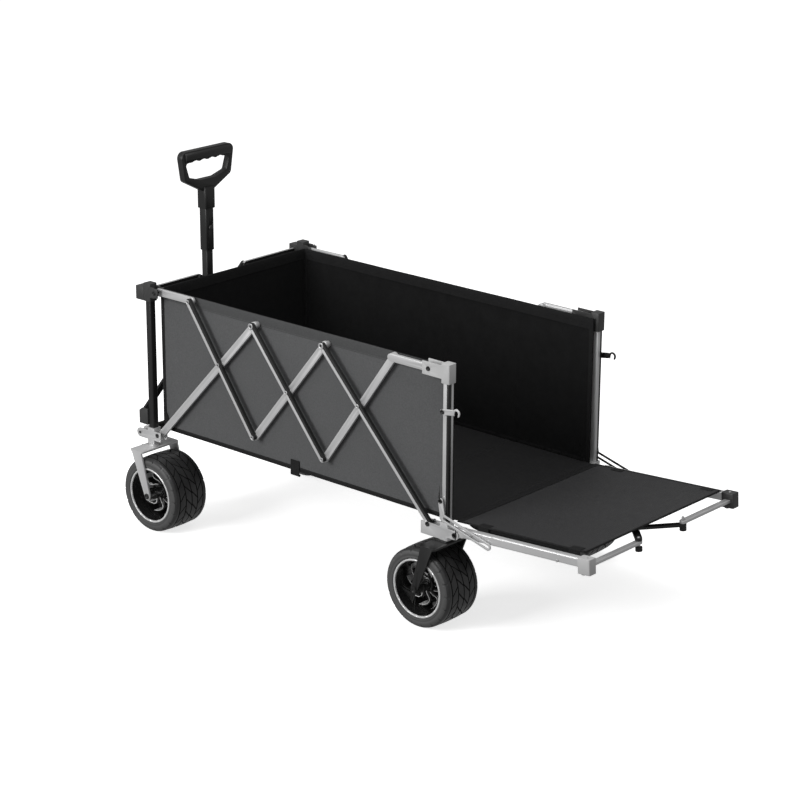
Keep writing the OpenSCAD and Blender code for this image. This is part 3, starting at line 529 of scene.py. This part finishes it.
parts = [rim]
for number in range(blade_count):
    # Each blade is a black body with a narrow bright ridge on its crest: a painted highlight.
    for wide, ridge in ((0.0052, 0), (0.0012, 1)):
        bpy.ops.mesh.primitive_cube_add(size=1)
        blade = bpy.context.object
        edit(blade)
        bpy.ops.mesh.subdivide(number_cuts=11)
        bpy.ops.object.mode_set(mode="OBJECT")
        start, end = (ridge_start, bead_radius - 0.014) if ridge else (hub_radius, bead_radius - 0.0095)
        for vertex in blade.data.vertices:
            along = vertex.co.x + 0.5
            r = start + (end - start) * along
            sweep = math.radians(360 / blade_count * number)
            sweep += blade_swirl * math.sin(math.pi * (along * 1.15 - 0.1))
            side = vertex.co.z * 2 * wide * (1.15 - 0.3 * along)
            deep = 0.0125 + 0.009 * along ** 2
            y = vertex.co.y * 2 * (deep + (0.0009 if ridge else -0.0016 * abs(vertex.co.z * 2) ** 2))
            x = r * math.cos(sweep) - side * math.sin(sweep)
            vertex.co = (x, y, r * math.sin(sweep) + side * math.cos(sweep))
        paint(blade, bright_lip_and_highlight if ridge else rim_black)
        parts.append(blade)
hub_steps = ((half_rim + 0.0006, 0.0115), (half_rim - 0.014, 0.0145), (0.02, 0.0185))
for reach, radius in hub_steps:
    bpy.ops.mesh.primitive_cylinder_add(vertices=48, radius=radius, depth=reach * 2,
        rotation=(math.pi / 2, 0, 0))
    hub = bpy.context.object
    edit(hub)
    bpy.ops.mesh.bevel(offset=0.0014, segments=3, affect="EDGES")
    bpy.ops.object.mode_set(mode="OBJECT")
    paint(hub, rim_black)
    parts.append(hub)
bpy.ops.object.select_all(action="DESELECT")
for part in parts:
    part.select_set(True)
bpy.context.view_layer.objects.active = rim
bpy.ops.object.join()
rim.modifiers.new("eased_edges", "WEIGHTED_NORMAL")
settle(rim, 35)

for corner, body in (("front_left", "wheel_front_left"), ("front_right", "wheel_front_right"),
        ("rear_left", "wheel_rear_left"), ("rear_right", "wheel_rear_right")):
    low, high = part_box("tyre_" + corner)
    for pattern, name, slot in ((tyre, "tyre_", "tyre"), (rim, "rim_", "rim")):
        piece = pattern.copy()
        piece.data = pattern.data.copy()
        bpy.context.scene.collection.objects.link(piece)
        piece.data.transform(Matrix.Translation((low + high) / 2))
        piece.name = name + corner + "_made"
        finished(piece, body, slot, name + corner)
for pattern in (tyre, rim):
    bpy.data.objects.remove(pattern)

# Forks: pressed steel plate folded over the tyre, silver in front where they turn on a king pin and
# black behind, where they're fixed.
for side in ("left", "right"):
    eased("caster_fork_" + side, silver_coat, "silver_frame", 0.0012)
    eased("brake_pedal_" + side, silver_nylon, "silver_moulding", 0.0012)
eased("rear_forks", black_coat, "black_frame", 0.0012)

# The handle: a square steel tube with a wider sleeve sliding on it, held by a sprung button, and a
# loop grip of glass-filled nylon with four finger scallops, moulded in one piece.
eased("handle_stem", black_coat, "black_frame")
eased("handle_sleeve", black_coat, "black_frame")
eased("handle_grip", black_nylon, "grip", 0.002)
eased("lock_button", grey_nylon, "grey_moulding", 0.0006)

# The cloth of the box: heavy woven polyester, grey outside and black inside, cut flat, hemmed and
# stretched between the posts. It folds up with the scissor sides.
def woven_cloth(name, dark, light, rough, yarn_scale=210):
    """Thick plain-woven yarn, a little uneven, slightly creased from being folded away."""
    material = bpy.data.materials.new(name)
    shader = shader_of(material)
    shader.inputs["Specular IOR Level"].default_value = 0.25
    nodes, links = material.node_tree.nodes, material.node_tree.links
    place = nodes.new("ShaderNodeTexCoord")
    creases = surface_noise(material, 9, 5)
    deepen = nodes.new("ShaderNodeMath")
    deepen.operation = "MULTIPLY"
    deepen.inputs[1].default_value = 5
    links.new(creases, deepen.inputs[0])
    height = deepen.outputs[0]
    for direction in ("X", "Y", "Z"):
        yarn = nodes.new("ShaderNodeTexWave")
        yarn.bands_direction = direction
        yarn.inputs["Scale"].default_value = yarn_scale
        yarn.inputs["Distortion"].default_value = 0.8
        links.new(place.outputs["Object"], yarn.inputs["Vector"])
        add = nodes.new("ShaderNodeMath")
        links.new(height, add.inputs[0])
        links.new(yarn.outputs["Fac"], add.inputs[1])
        height = add.outputs[0]
    colour_from(material, surface_noise(material, 260, 3), dark, light, shader.inputs["Base Color"])
    wear = surface_noise(material, 30, 4)
    value_from(material, wear, rough * 0.92, rough * 1.06, shader.inputs["Roughness"])
    bump_from(material, height, 0.5, 0.0006)
    return material


side_cloth = woven_cloth("side_cloth", (0.083, 0.084, 0.086), (0.102, 0.103, 0.105), 0.78)
inner_cloth = woven_cloth("inner_cloth", (0.0028, 0.0028, 0.003), (0.0045, 0.0045, 0.0047), 0.9)
hem_tape = woven_cloth("hem_tape", (0.060, 0.061, 0.062), (0.072, 0.073, 0.074), 0.75, 330)
black_tape = woven_cloth("black_tape", (0.005, 0.005, 0.0053), (0.009, 0.009, 0.0093), 0.7, 330)


def cloth_sheet(name, corner, along, up, cells, lift, front, back, thick=0.0026):
    """A cut of cloth: its front follows corner + along + up, with lift(u, v) metres of swell."""
    bpy.ops.object.select_all(action="DESELECT")
    bpy.ops.mesh.primitive_grid_add(x_subdivisions=cells[0], y_subdivisions=cells[1], size=1)
    cloth = bpy.context.object
    cloth.name = name
    corner, along, up = Vector(corner), Vector(along), Vector(up)
    out = along.cross(up).normalized()
    for vertex in cloth.data.vertices:
        u, v = vertex.co.x + 0.5, vertex.co.y + 0.5
        vertex.co = corner + along * u + up * v + out * lift(u, v)
    paint(cloth, front, back)
    wall = cloth.modifiers.new("cloth_thickness", "SOLIDIFY")
    wall.thickness = thick
    wall.offset = -1
    wall.material_offset = 1
    wall.material_offset_rim = 1
    settle(cloth, 50)
    return cloth


def laid_strip(name, path, section, thick, material, smooth=50):
    """Tape laid along a path of (point, across, out): section lists its (across, out) offsets."""
    bpy.ops.object.select_all(action="DESELECT")
    rows, columns = len(path), len(section)
    bpy.ops.mesh.primitive_grid_add(x_subdivisions=columns - 1, y_subdivisions=rows - 1, size=1)
    strip = bpy.context.object
    strip.name = name
    for vertex in strip.data.vertices:
        column = round((vertex.co.x + 0.5) * (columns - 1))
        row = round((vertex.co.y + 0.5) * (rows - 1))
        point, across, out = path[row]
        step, rise = section[column]
        vertex.co = Vector(point) + Vector(across) * step + Vector(out) * rise
    edit(strip)
    if section[0] == section[-1]:
        bpy.ops.mesh.remove_doubles(threshold=0.00001)
        bpy.ops.mesh.select_all(action="DESELECT")
        bpy.ops.mesh.select_non_manifold()
        bpy.ops.mesh.edge_face_add()
        bpy.ops.mesh.select_all(action="SELECT")
        bpy.ops.mesh.normals_make_consistent(inside=False)
    else:
        bpy.ops.mesh.normals_make_consistent(inside=False)
        bpy.ops.object.mode_set(mode="OBJECT")
        wall = strip.modifiers.new("tape_thickness", "SOLIDIFY")
        wall.thickness = thick
        wall.offset = 0
    settle(strip, smooth)
    paint(strip, material)
    return strip


def black_inside(hem, out):
    """The rim of a hem and its inner half are black tape."""
    hem.data.materials.append(black_tape)
    for face in hem.data.polygons:
        if face.normal.dot(Vector(out)) < 0.75:
            face.material_index = 1


def cord_section(radius, sides=8):
    ring = [(radius * math.cos(2 * math.pi * i / sides), radius * math.sin(2 * math.pi * i / sides))
        for i in range(sides)]
    return ring + [ring[0]]


def straight(start, end, across, out, steps=24, wobble=0.0, seed=1):
    """A path from start to end that strays a little, as sewn tape does."""
    rng = random.Random(seed)
    start, end = Vector(start), Vector(end)
    phase = [rng.uniform(0, 6.28) for _ in range(3)]
    path = []
    for step in range(steps + 1):
        share = step / steps
        stray = wobble * (math.sin(9 * share + phase[0]) + 0.6 * math.sin(23 * share + phase[1])) / 1.6
        path.append((start.lerp(end, share) + Vector(across) * stray, across, out))
    return path


def stitch_row(name, start, end, out, material, pitch=0.0042):
    """A row of lock stitches: each is a short six-sided dash of thread lying on the cloth."""
    start, end, out = Vector(start), Vector(end), Vector(out).normalized()
    along = (end - start).normalized()
    side = along.cross(out)
    dash, thread = 0.0015, 0.00035
    points, faces = [], []
    for number in range(int((end - start).length / pitch)):
        centre = start + along * (number + 0.5) * pitch
        first = len(points)
        for reach, grow in ((-1, 0.45), (-0.6, 1), (0.6, 1), (1, 0.45)):
            for turn in range(5):
                a = 2 * math.pi * turn / 5
                round_thread = side * math.cos(a) + out * math.sin(a)
                points.append(centre + along * dash * reach + round_thread * thread * grow)
        for ring in range(3):
            for turn in range(5):
                a, b = first + ring * 5 + turn, first + ring * 5 + (turn + 1) % 5
                faces.append((a, b, b + 5, a + 5))
        faces.append(tuple(first + t for t in reversed(range(5))))
        faces.append(tuple(first + 15 + t for t in range(5)))
    bpy.ops.object.select_all(action="DESELECT")
    bpy.ops.mesh.primitive_plane_add(size=0.01)
    row = bpy.context.object
    row.name = name
    row.data.clear_geometry()
    row.data.from_pydata(points, [], faces)
    edit(row)
    bpy.ops.mesh.normals_make_consistent(inside=False)
    settle(row, 60)
    paint(row, material)
    return row


def on_box(piece, slot, *nodes):
    """Goes with the box, on a mesh of its own."""
    finished(piece, "front_frame", slot, *nodes)
    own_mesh(piece)


cloth_thick = 0.0026
side_length, side_height = wall_high.x - wall_low.x, wall_high.z - wall_low.z
fold_lines = (0.245, 0.49, 0.735)


def side_swell(u, v):
    """The cloth bellies out a little, dips along its old fold lines and puckers near its corners."""
    belly = 0.0024 * math.sin(math.pi * u) * math.sin(math.pi * v) ** 0.7
    for fold in fold_lines:
        belly -= 0.0011 * math.exp(-((u - fold) / 0.006) ** 2) * math.sin(math.pi * v) ** 0.4
    for corner_u, corner_v in ((0, 0), (1, 0), (0, 1), (1, 1)):
        du, dv = abs(u - corner_u) * side_length, abs(v - corner_v) * side_height
        away = math.hypot(du, dv)
        belly += 0.0011 * math.exp(-away / 0.09) * math.sin(math.atan2(dv, du) * 9) * min(1, away / 0.02)
    edge = min(1, u * side_length / 0.02, (1 - u) * side_length / 0.02, v * side_height / 0.015,
        (1 - v) * side_height / 0.015)
    return belly * edge - 0.0002


thread_grey = coated_metal("thread_grey", 0.11, 0, 0.7)
thread_black = coated_metal("thread_black", 0.016, 0, 0.7)
for name, side in (("left", -1), ("right", 1)):
    face_y = side * -wall_low.y
    out = (0, side, 0)
    start_x = wall_low.x if side < 0 else wall_high.x
    cloth = cloth_sheet("side_cloth_" + name, (start_x, face_y, wall_low.z), (-side * side_length, 0, 0),
        (0, 0, side_height), (150, 56), side_swell, side_cloth, inner_cloth)
    middle = face_y - side * cloth_thick / 2
    hem = [(-0.029, 0.00165), (-0.015, 0.0017), (-0.002, 0.0017), (0.0003, 0.0011), (0.0008, 0),
        (0.0003, -0.0011), (-0.002, -0.0017), (-0.015, -0.0017), (-0.029, -0.0016)]
    west, east, low_z, high_z = wall_low.x, wall_high.x, wall_low.z, wall_high.z
    inset_x, inset_z, proud = 0.001, 0.0004, 0.0012
    top = laid_strip("top_hem_" + name,
        straight((west + inset_x, middle, high_z - inset_z), (east - inset_x, middle, high_z - inset_z),
            (0, 0, 1), out, 60, 0.0003, 3), hem, 0.0007, hem_tape)
    black_inside(top, out)
    low = laid_strip("bottom_binding_" + name,
        straight((west + inset_x, middle, low_z + inset_z), (east - inset_x, middle, low_z + inset_z),
            (0, 0, -1), out, 60, 0.0004, 4), [(s * 0.42, r) for s, r in hem], 0.0007, black_tape)
    front = laid_strip("front_binding_" + name,
        straight((west + proud, middle, low_z + 0.002), (west + proud, middle, high_z - 0.002),
            (-1, 0, 0), out, 30, 0.0003, 5), [(s * 0.4, r) for s, r in hem], 0.0007, black_tape)
    back = laid_strip("back_binding_" + name,
        straight((east - proud, middle, low_z + 0.002), (east - proud, middle, high_z - 0.002),
            (1, 0, 0), out, 30, 0.0003, 6), [(s * 0.4, r) for s, r in hem], 0.0007, black_tape)
    seam_y = face_y + side * 0.0008
    seams = [stitch_row("top_seam_" + name, (west + 0.01, seam_y, high_z - 0.0265),
            (east - 0.01, seam_y, high_z - 0.0265), out, thread_grey),
        stitch_row("bottom_seam_" + name, (west + 0.01, seam_y, low_z + 0.0105),
            (east - 0.01, seam_y, low_z + 0.0105), out, thread_black)]
    on_box(cloth, "side_fabric", "side_panel_" + name)
    sewn_on = [top, low, front, back] + seams
    for piece in sewn_on:
        on_box(piece, "side_fabric")

# Corner gussets of black cloth, sewn over the front bottom corners, and a folded tab of webbing under
# the middle of each side that holds the wagon shut when it is folded.
gusset_width, gusset_height = 0.046, 0.062
tab_section = [(0.03, 0.0001), (0.015, 0.0004), (0.002, 0.0008), (-0.008, 0.0012), (-0.0125, 0.0006),
    (-0.0135, -0.0008), (-0.0125, -0.0022), (-0.008, -0.003)]
tab_x, tab_half = wall_low.x + 0.506, 0.016
for name, side in (("left", -1), ("right", 1)):
    face_y = side * (-wall_low.y + 0.0016)
    gusset_path = [((wall_low.x + 0.002, face_y, wall_low.z + 0.002 + gusset_height * i / 12),
        (1 - 0.92 * (i / 12) ** 0.8, 0, 0), (0, side, 0)) for i in range(13)]
    gusset = laid_strip("corner_gusset_" + name, gusset_path,
        [(gusset_width * i / 8, 0.0003 * math.sin(math.pi * i / 8)) for i in range(9)], 0.0009, black_tape)
    on_box(gusset, "inner_fabric")
    tab = laid_strip("webbing_tab_" + name,
        straight((tab_x - tab_half, face_y, wall_low.z), (tab_x + tab_half, face_y, wall_low.z),
            (0, 0, 1), (0, side, 0), 8), tab_section, 0.0012, black_tape)
    on_box(tab, "inner_fabric")

# The front wall, grey outside and black inside, and the floor: black cloth over four stiff boards,
# with a sewn channel at each fold.
front_low, front_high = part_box("front_panel")
front_width = front_high.y - front_low.y


def front_swell(u, v):
    edge = min(1, u / 0.04, (1 - u) / 0.04, v / 0.04, (1 - v) / 0.04)
    return 0.0016 * edge * math.sin(math.pi * u) * math.sin(math.pi * v) - 0.0002


front_cloth = cloth_sheet("front_cloth", (front_low.x, front_high.y, front_low.z), (0, -front_width, 0),
    (0, 0, front_high.z - front_low.z), (70, 48), front_swell, side_cloth, inner_cloth)
front_middle = front_low.x + cloth_thick / 2
front_hem = laid_strip("top_hem_front",
    straight((front_middle, front_low.y + 0.001, front_high.z - 0.0004),
        (front_middle, front_high.y - 0.001, front_high.z - 0.0004), (0, 0, 1), (-1, 0, 0), 40, 0.0003, 8),
    hem, 0.0007, hem_tape)
black_inside(front_hem, (-1, 0, 0))
finished(front_cloth, "front_frame", "inner_fabric", "front_panel")
finished(front_hem, "front_frame", "inner_fabric")

floor_length, floor_width = floor_high.x - floor_low.x, floor_high.y - floor_low.y
floor_folds = (0.25, 0.5, 0.75)
floor_cloth_black = woven_cloth("floor_cloth_black", (0.007, 0.007, 0.0073), (0.011, 0.011, 0.0115), 0.6)


def floor_swell(u, v):
    dip = 0.0
    for fold in floor_folds:
        dip -= 0.0012 * math.exp(-((u - fold) * floor_length / 0.0035) ** 2)
    pad = 0.0006 * abs(math.sin(4 * math.pi * u)) ** 0.3 * math.sin(math.pi * v) ** 0.3
    return dip + pad - 0.0006


floor_cloth = cloth_sheet("floor_cloth", (floor_low.x, floor_low.y, floor_high.z), (floor_length, 0, 0),
    (0, floor_width, 0), (240, 60), floor_swell, floor_cloth_black, inner_cloth)
floor_seams = []
for number, fold in enumerate(floor_folds):
    for offset, mark in ((-0.006, "a"), (0.006, "b")):
        seam_x, seam_z = floor_low.x + fold * floor_length + offset, floor_high.z - 0.0001
        floor_seams.append(stitch_row("floor_seam_%d_%s" % (number, mark),
            (seam_x, floor_low.y + 0.01, seam_z), (seam_x, floor_high.y - 0.01, seam_z),
            (0, 0, 1), thread_black, 0.005))
on_box(floor_cloth, "inner_fabric", "floor_panel")
for seam in floor_seams:
    on_box(seam, "inner_fabric")

# The tailgate frame: two side tubes with corner fittings, two crossed bars underneath, short links
# and screwed feet. Slotted braces of flat steel stop it level.
eased("tailgate_tubes", silver_coat, "silver_frame")
# One part in two halves: the near left corner is silver and the far right one grey, a lit and a shaded copy,
# painted shade on the far side.
eased("tailgate_corners", silver_nylon, "silver_moulding", 0.0016, -1, "tailgate_corner_left")
eased("tailgate_corners", grey_nylon, "grey_moulding", 0.0016, 1, "tailgate_corner_right")
eased("tailgate_bars", black_coat, "black_frame")
eased("tailgate_links", silver_coat, "silver_frame")
eased("tailgate_feet", black_nylon, "black_plastic", 0.0012)
# One part in two halves: the near left brace is silver and the far right one black, a lit and a shaded copy,
# painted shade on the far side.
eased("brace_arms", silver_coat, "silver_frame", 0.0006, -1, "brace_left")
eased("brace_arms", black_coat, "black_frame", 0.0006, 1, "brace_right")
# The near left hook is silver and the far right one black: a lit and a shaded copy, painted shade on the far
# side.
eased("latch_hook_left", silver_coat, "silver_frame", 0.0006)
eased("latch_hook_right", black_coat, "black_frame", 0.0006)

# The deck: charcoal cloth stretched over the tailgate, bound with black piping, with sewn tabs that
# take it round the side tubes and a shaped flap that closes the gap along each side.
deck_cloth = woven_cloth("deck_cloth", (0.026, 0.026, 0.027), (0.034, 0.034, 0.035), 0.6)
deck_rise = 3.7
deck_slope = math.radians(deck_rise)
deck_along = Vector((math.cos(deck_slope), 0, math.sin(deck_slope)))
deck_up = Vector((-math.sin(deck_slope), 0, math.cos(deck_slope)))
hinge = next(Vector(j["pos_m"]) for j in frame["joints"] if j["name"] == "tailgate")
deck_top = 0.02714
deck_from, deck_to = -0.016, 0.388
deck_width = floor_high.y - floor_low.y + 0.0066


def on_deck(along, y, up):
    return Vector((hinge.x, y, hinge.z)) + deck_along * along + deck_up * up


def deck_swell(u, v):
    edge = min(1, u / 0.03, (1 - u) / 0.03, v / 0.02, (1 - v) / 0.02)
    sag = -0.0035 * math.sin(math.pi * v) * math.sin(math.pi * min(1, u + 0.05))
    ripple = 0.0004 * math.sin(11 * u + 5 * v) * math.sin(7 * v + 2)
    return (sag + ripple) * edge


deck = cloth_sheet("deck_sheet", on_deck(deck_from, -deck_width / 2, deck_top),
    deck_along * (deck_to - deck_from), (0, deck_width, 0), (90, 110), deck_swell, deck_cloth, inner_cloth)
deck_parts = []
deck_half = deck_width / 2
deck_tab_section = [(deck_half - 0.02, 0.0006), (deck_half - 0.004, 0.0007), (deck_half + 0.0004, -0.0004),
    (deck_half + 0.001, -0.004), (deck_half + 0.0012, -0.0105), (deck_half + 0.0025, -0.0128),
    (deck_half + 0.0068, -0.0132)]
for name, side in (("left", -1), ("right", 1)):
    edge_y = side * (deck_half - 0.0015)
    edge = [(on_deck(deck_from + 0.004 + (deck_to - deck_from - 0.008) * i / 40, edge_y, deck_top - 0.001),
        (0, side, 0), deck_up) for i in range(41)]
    deck_parts.append(laid_strip("deck_piping_" + name, edge, cord_section(0.0026), 0, black_tape))
    flap = []
    for i in range(41):
        drop = 0.005 + 0.019 * math.sin(math.pi * i / 40) ** 0.6
        point = on_deck(0.02 + 0.345 * i / 40, side * (deck_half - 0.0035), deck_top - 0.002)
        flap.append((point, -deck_up * drop, (0, side, 0)))
    deck_parts.append(laid_strip("deck_flap_" + name, flap,
        [(i / 6, -0.004 * (i / 6) ** 2) for i in range(7)], 0.001, black_tape))
    tucked = Vector((0, side * 0.004, 0))
    flap_edge = [(point + drop - tucked, (0, side, 0), deck_up) for point, drop, _ in flap]
    deck_parts.append(laid_strip("flap_piping_" + name, flap_edge, cord_section(0.0013, 6), 0, hem_tape))
    for number, tab_start in enumerate((0.052, deck_to - 0.050)):
        tab_path = [(on_deck(tab_start + 0.034 * i / 8, 0, deck_top), (0, side, 0), deck_up)
            for i in range(9)]
        deck_parts.append(laid_strip("deck_tab_%s_%d" % (name, number), tab_path, deck_tab_section, 0.001,
            black_tape))
end_edge = [(on_deck(deck_to - 0.0012, -deck_half + deck_width * i / 50, deck_top - 0.001), deck_along,
    deck_up) for i in range(51)]
deck_parts.append(laid_strip("deck_piping_end", end_edge, cord_section(0.0026), 0, black_tape))
for number, along in enumerate((deck_from + 0.018, deck_to - 0.012)):
    deck_parts.append(stitch_row("deck_seam_%d" % number,
        on_deck(along, -deck_half + 0.01, deck_top + 0.0001),
        on_deck(along, deck_half - 0.01, deck_top + 0.0001), deck_up, thread_grey, 0.005))
finished(deck, "tailgate", "deck_fabric", "tailgate_panel")
for piece in deck_parts:
    finished(piece, "tailgate", "deck_fabric")

# The apron over the hinge: a band of black cloth sewn to the floor's back edge and to the deck, so
# that nothing falls through the gap.
deck_start = on_deck(deck_from, 0, deck_top)
apron_end = on_deck(deck_from + 0.016, 0, deck_top + 0.0006)
apron_section = [(floor_high.x - 0.016, floor_high.z + 0.0005), (floor_high.x - 0.002, floor_high.z + 0.0006),
    (floor_high.x + 0.005, floor_high.z + 0.0002), (deck_start.x - 0.006, floor_high.z + 0.0002),
    (deck_start.x + 0.001, deck_start.z + 0.0006), (apron_end.x, apron_end.z)]
fine_apron = []
for (x0, z0), (x1, z1) in zip(apron_section, apron_section[1:]):
    fine_apron += [(x0 + (x1 - x0) * i / 4, z0 + (z1 - z0) * i / 4) for i in range(4)]
fine_apron.append(apron_section[-1])
apron_path = [((0, floor_low.y + 0.001 + (floor_width - 0.002) * i / 40, 0), (1, 0, 0), (0, 0, 1))
    for i in range(41)]
apron = laid_strip("hinge_apron", apron_path, fine_apron, 0.0009, floor_cloth_black)
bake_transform(apron)

bpy.ops.object.select_all(action="DESELECT")
